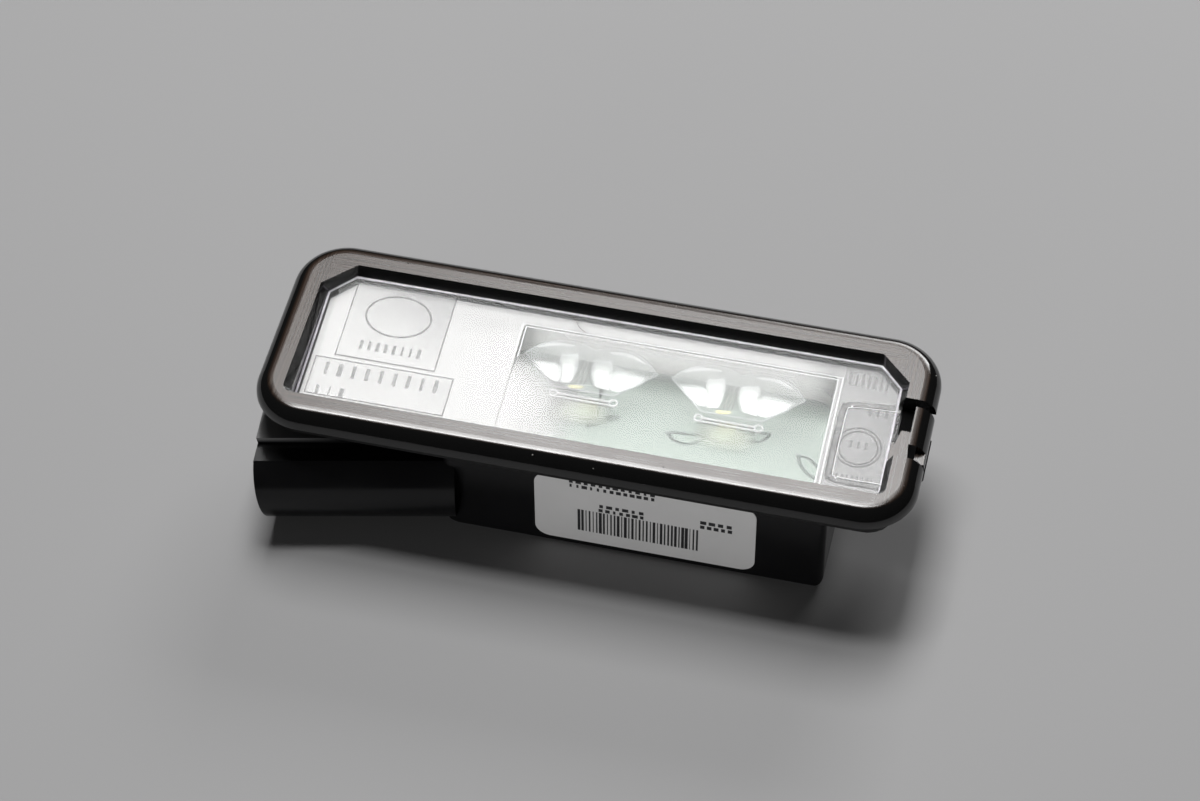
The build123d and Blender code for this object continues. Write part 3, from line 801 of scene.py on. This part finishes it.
def addLensPieces(tree):
    dark, grey, bright, violet = newShape(), newShape(), newShape(), newShape()
    low, high = lensSet["padLift"]
    for x0, x1, y0, y1 in lensSet["padEdges"]:
        outline = ((x0, y0), (x1, y0), (x1, y1), (x0, y1))
        addRidge(dark, outline, lensSet["padLine"], low, high, onLens, True)
    top = high + lensSet["ovalRise"]
    addRidge(grey, ovalOutline(*lensSet["oval"]), lensSet["ovalLine"], low, top, onLens, True)
    for row in lensSet["rows"] + lensSet["rightRows"]:
        addBars(dark, tree, extras["reliefDark"], row, onLens)
    for ring in lensSet["rings"]:
        addRidge(grey, ovalOutline(*ring), lensSet["ringLine"], *lensSet["ringLift"], onLens, True)
    corner = smoothLine(lensSet["cornerField"], 4)
    addRidge(grey, corner, lensSet["cornerLine"], *lensSet["cornerLift"], onLens)
    (beside, turned), turn = lensSet["cornerInset"], lensSet["cornerTurn"]
    inner = [(x + turned, y + (-turned if y > 0 else turned)) if x > turn else (x + beside, y)
             for x, y in corner]
    addRidge(bright, inner, lensSet["cornerBright"], *lensSet["brightLift"], onLens)
    addRidge(violet, lensSet["border"], lensSet["borderLine"], *lensSet["borderLift"], onLens, True)
    low, high = [lift - lensPlane["thickness"] for lift in lensSet["fieldLift"]]
    for x0, y0, x1, y1 in lensSet["fieldLines"]:
        outline = ((x0, lensSet["fieldStart"]), (x0, y1), (x1, y1), (x1, y0))
        addRidge(bright, outline, lensSet["fieldLine"], low, high, onLens)
    # painted shade and highlights along the lens's relief
    shapePiece("lensFineLines", dark, extras["reliefDark"], "clear_lens")
    shapePiece("lensRings", grey, extras["reliefGreyPaintedShade"], "clear_lens")
    shapePiece("lensHighlightLines", bright, extras["reliefWhite"], "clear_lens")
    shapePiece("lensBorderHighlight", violet, extras["reliefViolet"], "clear_lens")
    shades = newShape()
    for (x0, x1, y0, y1), lift, (nearLeft, nearRight, farRight, farLeft) in lensSet["padShades"]:
        addSheet(shades, 10, 8, lensSet["shadeThick"],
                 lambda u, v: onLens(between(x0, x1, u), between(y0, y1, v), lift),
                 lambda u, v: between(between(nearLeft, nearRight, u), between(farLeft, farRight, u), v))
    shapePiece("lensPadShades", shades, extras["padShade"], "clear_lens")
    print("lens lines made")


hairSet = {"line": ((-5.8, 10.0), (-5.1, 9.35), (-4.5, 8.5), (-3.5, 7.9)), "radius": 0.05, "lift": 0.06}


def addHair():
    shape = newShape()
    line = smoothLine(hairSet["line"], 5)
    addTube(shape, [onLens(x, y, hairSet["lift"]) for x, y in line], hairSet["radius"] * mm, 6)
    shapePiece("lensHair", shape, extras["hair"], "clear_lens", smooth=True, clear=False)


# Facets and bright edges inside the two clear optics: painted reflections and highlights, painted shade
# beside the bars and a painted glow over each chip

opticSet = {
    "places": {"left": (-2.2, -2.2), "right": (17.3, 16.95)},      # middle of the crown, middle of the foot
    "facets": (
        ((-7.9, 4.5, -2.02), (-4.4, 4.9, -2.02), (-3.5, 1.35, -2.4), (-4.3, 1.25, -2.3)),
        ((-4.3, 6.6, -2.05), (-2.0, 7.3, -2.05), (-1.9, 1.5, -2.5), (-3.4, 1.2, -2.5)),
        ((0.2, 6.2, -2.05), (2.4, 7.0, -2.05), (3.3, 1.2, -2.5), (1.1, 1.6, -2.5)),
        ((3.3, 5.4, -2.02), (8.0, 4.75, -2.02), (4.3, 1.25, -2.3), (3.3, 1.3, -2.4)),
    ),
    "bulge": 0.32,
    "rise": 0.06,
    "thick": 0.04,
    # painted highlights: the glints along the lobes' backs, the bars at the foot and the rings at the pins
    "crests": (
        ((-7.4, 6.3), (-6.0, 7.05), (-4.7, 7.4), (-2.6, 7.5)),
        ((1.9, 7.3), (3.4, 7.5), (5.0, 7.35), (7.0, 6.4)),
    ),
    "crownOutline": ((8.75, 4.9), (5.3, 7.78), (0.0, 7.28), (4.0, 0.32)),
    "crownLine": 0.12,
    "crestWidth": 0.6,
    "crownFace": -1.93,
    "crestLift": (-0.07, -0.01),       # all lifts are from the crown's face
    "crownLift": (-0.04, -0.005),
    "centreLift": (-0.5, -0.42),
    "pinLift": (-1.62, -1.42),
    "centreLines": (((-1.25, 1.6), (-1.0, 5.4)), ((-0.75, 1.5), (-0.45, 5.8)), ((-0.3, 1.6), (0.05, 5.2))),
    "centreWidth": 0.16,
    "bars": ((0.36, -3.36, 0.13), (0.02, -3.62, 0.11)),
    # painted shade: dark lines beside the bright bars
    "barShades": ((0.19, -3.5, 0.075), (-0.2, -3.74, 0.085)),
    "barHalf": 3.75,
    "pinRing": (3.95, 0.36, 0.52, 0.14),
    "legs": ((-3.5, 0.55), (3.5, 0.55), (-2.0, 2.8), (2.0, 2.8)),
    "legPad": (0.66, 0.02, 0.1),
    # painted light: a pale glow over each chip, in the optic's foot
    "paintedBloom": ((-4.4, -3.2), (4.0, 1.6), -4.75),
    "bloomThick": 0.02,
    "bloomFade": 0.85,
    "bloomPower": 1.3,
    # painted reflection: a small yellow glint of the chip above the bar
    "glintShape": (0.2, 0.02, 0.03),
    "glint": ((-2.1, 1.75, -2.95), (-0.5, 1.95, -2.95), (-0.7, 1.45, -3.05), (-1.9, 1.3, -3.05)),
}


def addOpticPieces():
    for side, (middle, footMiddle) in opticSet["places"].items():
        facets, bright, lines, glint, rimLine, barShadePaint, paintedBloom, pads = [newShape() for _ in range(8)]
        for corners in opticSet["facets"]:
            moved = [(x + middle, y, z) for x, y, z in corners]
            addPetal(facets, moved, opticSet["bulge"], opticSet["rise"], opticSet["thick"])

        def onCrown(x, y, lift):
            return ((x + middle) * mm, y * mm, (opticSet["crownFace"] + lift) * mm)

        # painted highlights: glints along the crests, bright bars at the foot and rings at the pins
        for crest in opticSet["crests"]:
            addRidge(bright, smoothLine(crest, 6), opticSet["crestWidth"], *opticSet["crestLift"], onCrown,
                     taper=True)
        stations = [footMiddle + opticSet["barHalf"] * (i / 8 - 1) for i in range(17)]
        for shape, rows, sides in ((bright, opticSet["bars"], 8), (barShadePaint, opticSet["barShades"], 6)):
            for y, z, radius in rows:
                addTube(shape, [(x * mm, y * mm, z * mm) for x in stations], radius * mm, sides)
        x, y, radius, wall = opticSet["pinRing"]
        for end in (-1, 1):
            ring = ovalOutline(footMiddle - middle + end * x, y, radius, radius, 24)
            addRidge(bright, ring, wall * 2, *opticSet["pinLift"], onCrown, True)
        tip, top, dip, foot = opticSet["crownOutline"]
        lobe = arcThrough(tip, top, dip)
        outline = lobe + [(-px, py) for px, py in reversed(lobe[:-1])] + [(-foot[0], foot[1]), foot]
        addRidge(rimLine, outline, opticSet["crownLine"], *opticSet["crownLift"], onCrown, True)
        for line in opticSet["centreLines"]:
            addRidge(lines, line, opticSet["centreWidth"], *opticSet["centreLift"], onCrown)
        moved = [(px + middle, py, pz) for px, py, pz in opticSet["glint"]]
        addPetal(glint, moved, *opticSet["glintShape"])
        # painted light: the pale glow over the chip
        (x0, y0), (x1, y1), z = opticSet["paintedBloom"]
        addSheet(paintedBloom, 12, 10, opticSet["bloomThick"],
                 lambda u, v: ((footMiddle + between(x0, x1, u)) * mm, between(y0, y1, v) * mm, z * mm),
                 lambda u, v: opticSet["bloomFade"]
                 * (math.sin(math.pi * u) * math.sin(math.pi * v)) ** opticSet["bloomPower"])
        radius, low, high = opticSet["legPad"]
        for x, y in opticSet["legs"]:
            addSlab(pads, ovalOutline(middle + x, y, radius, radius, 20), low, high, onBoard)
        shapePiece("legPads_" + side, pads, finishes["board_pale"], "board_pale", clear=False)
        shapePiece("chipPaintedBloom_" + side, paintedBloom, extras["paintedBloom"], "clear_optic", smooth=True)
        shapePiece("opticFacetReflections_" + side, facets, extras["facetReflection"], "clear_optic", smooth=True)
        shapePiece("opticBarShades_" + side, barShadePaint, extras["reliefDark"], "clear_optic")
        shapePiece("opticEdgeHighlights_" + side, bright, extras["reliefWhite"], "clear_optic")
        shapePiece("opticOutlineHighlight_" + side, rimLine, extras["reliefViolet"], "clear_optic")
        shapePiece("opticCentre_" + side, lines, extras["centreLine"], "clear_optic")
        shapePiece("chipPaintedGlint_" + side, glint, extras["yellowPaintedGlint"], "phosphor_yellow")
    print("optic facets made")


# Thin dark-green loops and a stroke on the board

boardSet = {
    "loops": (
        ((9.3, -1.3), (10.4, -0.95), (11.9, -0.9), (14.0, -0.65), (13.7, -1.6), (12.2, -2.5), (10.5, -2.3)),
        ((14.3, -0.8), (15.8, 0.1), (18.9, 0.75), (21.9, 1.45), (22.1, 1.0), (20.9, -0.1), (16.6, -0.8)),
        ((26.5, -1.3), (27.8, -1.4), (29.1, -2.4), (30.0, -2.95), (29.6, -4.4), (28.2, -3.9), (27.0, -2.5)),
    ),
    "loopLine": 0.46,
    "stroke": ((-1.3, -2.6), (-0.1, -1.6), (1.1, -0.75), (2.85, 0.05)),
    "strokeLine": 1.15,
    "lift": (0.0, 0.03),
}


def addBoardLoops():
    shape = newShape()
    low, high = boardSet["lift"]
    for loop in boardSet["loops"]:
        closed = smoothLine(loop + (loop[0],), 5)[:-1]
        addRidge(shape, closed, boardSet["loopLine"], low, high, onBoard, True, 0.8)
    stroke = smoothLine(boardSet["stroke"], 5)
    addRidge(shape, stroke, boardSet["strokeLine"], low, high, onBoard, False, 0.8, True)
    shapePiece("boardLoops", shape, extras["leafGreen"], "board_pale")
    print("board loops made")


# Painted shade at the bottom of the catch's slot: a black sheet on top of the collar

slotSet = {"outline": ((38.75, 0.55), (40.35, 0.55), (40.35, 4.7), (38.75, 4.7)), "z": (0.005, 0.03)}


def addSlotShade():
    shape = newShape()
    low, high = slotSet["z"]
    addSlab(shape, slotSet["outline"], low, high, lambda x, y, lift: (x * mm, y * mm, lift * mm))
    shapePiece("catchSlotShade", shape, extras["slotPaintedShade"], "seal_rubber", clear=False)


# White ramp from the carrier's plate down to the board at the plug end of the window, with veils of painted
# light under the lens

rampSet = {
    "x": (-12.0, -3.4), "y": (-8.35, 3.4),
    "under": -0.65,                    # the carrier's plate, from the lens's underside
    "end": 0.05,                       # from the board
    "thick": 0.04,
    "nearPaintedHaze": {"x": (-13.2, 0.5), "y": (-9.9, 4.6), "under": -0.3, "fade": 0.95},
    "farPaintedHaze": {"x": (-12.0, 30.3), "y": (3.2, 8.45), "under": -0.28, "fade": 0.4},
    "hazeThick": 0.02,
}


def addPaintedLightVeil(shape, setting, across, along, fadeAt):
    # painted light: a pale veil under the lens that lightens what lies below it
    def place(u, v):
        lift = setting["under"] - lensPlane["thickness"]
        return onLens(between(*setting["x"], u), between(*setting["y"], v), lift)

    addSheet(shape, across, along, rampSet["hazeThick"], place, lambda u, v: setting["fade"] * fadeAt(u, v))


def addRamp():
    shape = newShape()

    def place(u, v):
        y = between(*rampSet["y"], v)
        top = onLens(0, y, 0)[2] / mm - lensPlane["thickness"] + rampSet["under"]
        fall = 0.5 + 0.5 * math.cos(math.pi * min(1.0, u * 1.05))
        z = boardFace + rampSet["end"] + (top - boardFace) * fall
        return between(*rampSet["x"], u) * mm, y * mm, z * mm

    addSheet(shape, 16, 10, rampSet["thick"], place,
             lambda u, v: max(0.0, min(1.0, (1 - u) * 1.35 - 0.1)) * min(1.0, (1 - v) * 3.0))
    addPaintedLightVeil(shape, rampSet["nearPaintedHaze"], 16, 12,
            lambda u, v: min(1.0, u * 8) * (1 - u) ** 1.4 * min(1.0, (1 - v) * 2.2) * min(1.0, v * 12))
    addPaintedLightVeil(shape, rampSet["farPaintedHaze"], 20, 10, lambda u, v: min(1.0, v * 1.2) * min(1.0, u * 9, (1 - u) * 9))
    shapePiece("frameRampAndPaintedHaze", shape, extras["ramp"], "white_frame", smooth=True)


# Generic print on the label

labelSet = {
    "rows": (
        (-0.05, -11.95, 16.0, 4.3, 34, 0.2, 0.9, 0.0, 0.012, 21),
        (-1.3, -4.3, 11.6, 0.62, 12, 0.3, 0.85, 0.0, 0.012, 22),
        (-1.3, -5.15, 11.6, 0.62, 13, 0.3, 0.85, 0.0, 0.012, 27),
        (2.6, -8.45, 6.3, 0.62, 6, 0.3, 0.85, 0.0, 0.012, 23),
        (2.6, -9.3, 6.3, 0.62, 7, 0.3, 0.85, 0.0, 0.012, 28),
        (15.9, -8.1, 4.5, 0.66, 4, 0.35, 0.85, 0.0, 0.012, 25),
        (15.9, -9.0, 4.5, 0.66, 5, 0.35, 0.85, 0.0, 0.012, 29),
    ),
}


def addLabelPrint(tree):
    shape = newShape()
    for row in labelSet["rows"]:
        addBars(shape, tree, extras["labelInk"], row, onLabel)
    shapePiece("labelPrint", shape, extras["labelInk"], "label_film", clear=False)
    print("label print made")


# Dust that has settled on the upper faces

dustLies = 0.6                         # how far a face looks up to hold dust
dustSet = {
    "bezel": {"density": 30000.0, "size": (0.00004, 0.00011), "seed": 4, "slot": "bezel_black"},
    "housing": {"density": 12000.0, "size": (0.00004, 0.00009), "seed": 7, "slot": "housing_black"},
}


def dustTree():
    tree, given = namedTree("settledDust", (("Density", "Float"), ("Small", "Float"), ("Large", "Float"),
                                            ("Seed", "Int"), ("Finish", "Material")))
    normal = tree.nodes.new("GeometryNodeInputNormal")
    upward = addNode(tree, "ShaderNodeSeparateXYZ", {0: normal.outputs[0]})
    lying = addNode(tree, "FunctionNodeCompare", {0: upward.outputs["Z"], 1: dustLies}, data_type="FLOAT",
                    operation="GREATER_THAN")
    spread = addNode(tree, "GeometryNodeDistributePointsOnFaces",
                     {"Mesh": given["Geometry"], "Selection": lying.outputs[0], "Density": given["Density"],
                      "Seed": given["Seed"]})
    speck = addNode(tree, "GeometryNodeMeshIcoSphere", {"Radius": 1.0, "Subdivisions": 1})
    size = addNode(tree, "FunctionNodeRandomValue",
                   {2: given["Small"], 3: given["Large"], "Seed": given["Seed"]}, data_type="FLOAT")
    return closeTree(tree, spread.outputs[0], speck.outputs[0], size.outputs[1], given["Finish"])


def addDust():
    tree = dustTree()
    for name, setting in dustSet.items():
        base = cadNodes[name].data.copy()
        work = bmesh.new()
        work.from_mesh(base)
        bmesh.ops.remove_doubles(work, verts=work.verts, dist=1e-7)
        work.to_mesh(base)
        work.free()
        small, large = setting["size"]
        values = {"Density": setting["density"], "Small": small, "Large": large, "Seed": setting["seed"],
                  "Finish": extras["dust"]}
        mesh = bakedNodes(tree, base, values)
        for vertex in mesh.vertices:
            for axis in range(3):
                lowest, highest = cadBox[0][axis], cadBox[1][axis]
                vertex.co[axis] = min(max(vertex.co[axis], lowest), highest)
        finishPiece(name + "Dust", mesh, extras["dust"], setting["slot"])
        print("dust on", name, len(mesh.polygons), "faces")


addCamera()
addFloor()
addWorld()
for name in ("over", "back", "low", "front", "strip"):
    addAreaLight(name + "Light", lightSet[name])
finishNodes()
print("finishes set")
bars = barTree()
addLensPieces(bars)
addHair()
addOpticPieces()
addBoardLoops()
addRamp()
addSlotShade()
addLabelPrint(bars)
addDust()

bpy.context.scene.view_settings.view_transform = "Standard"
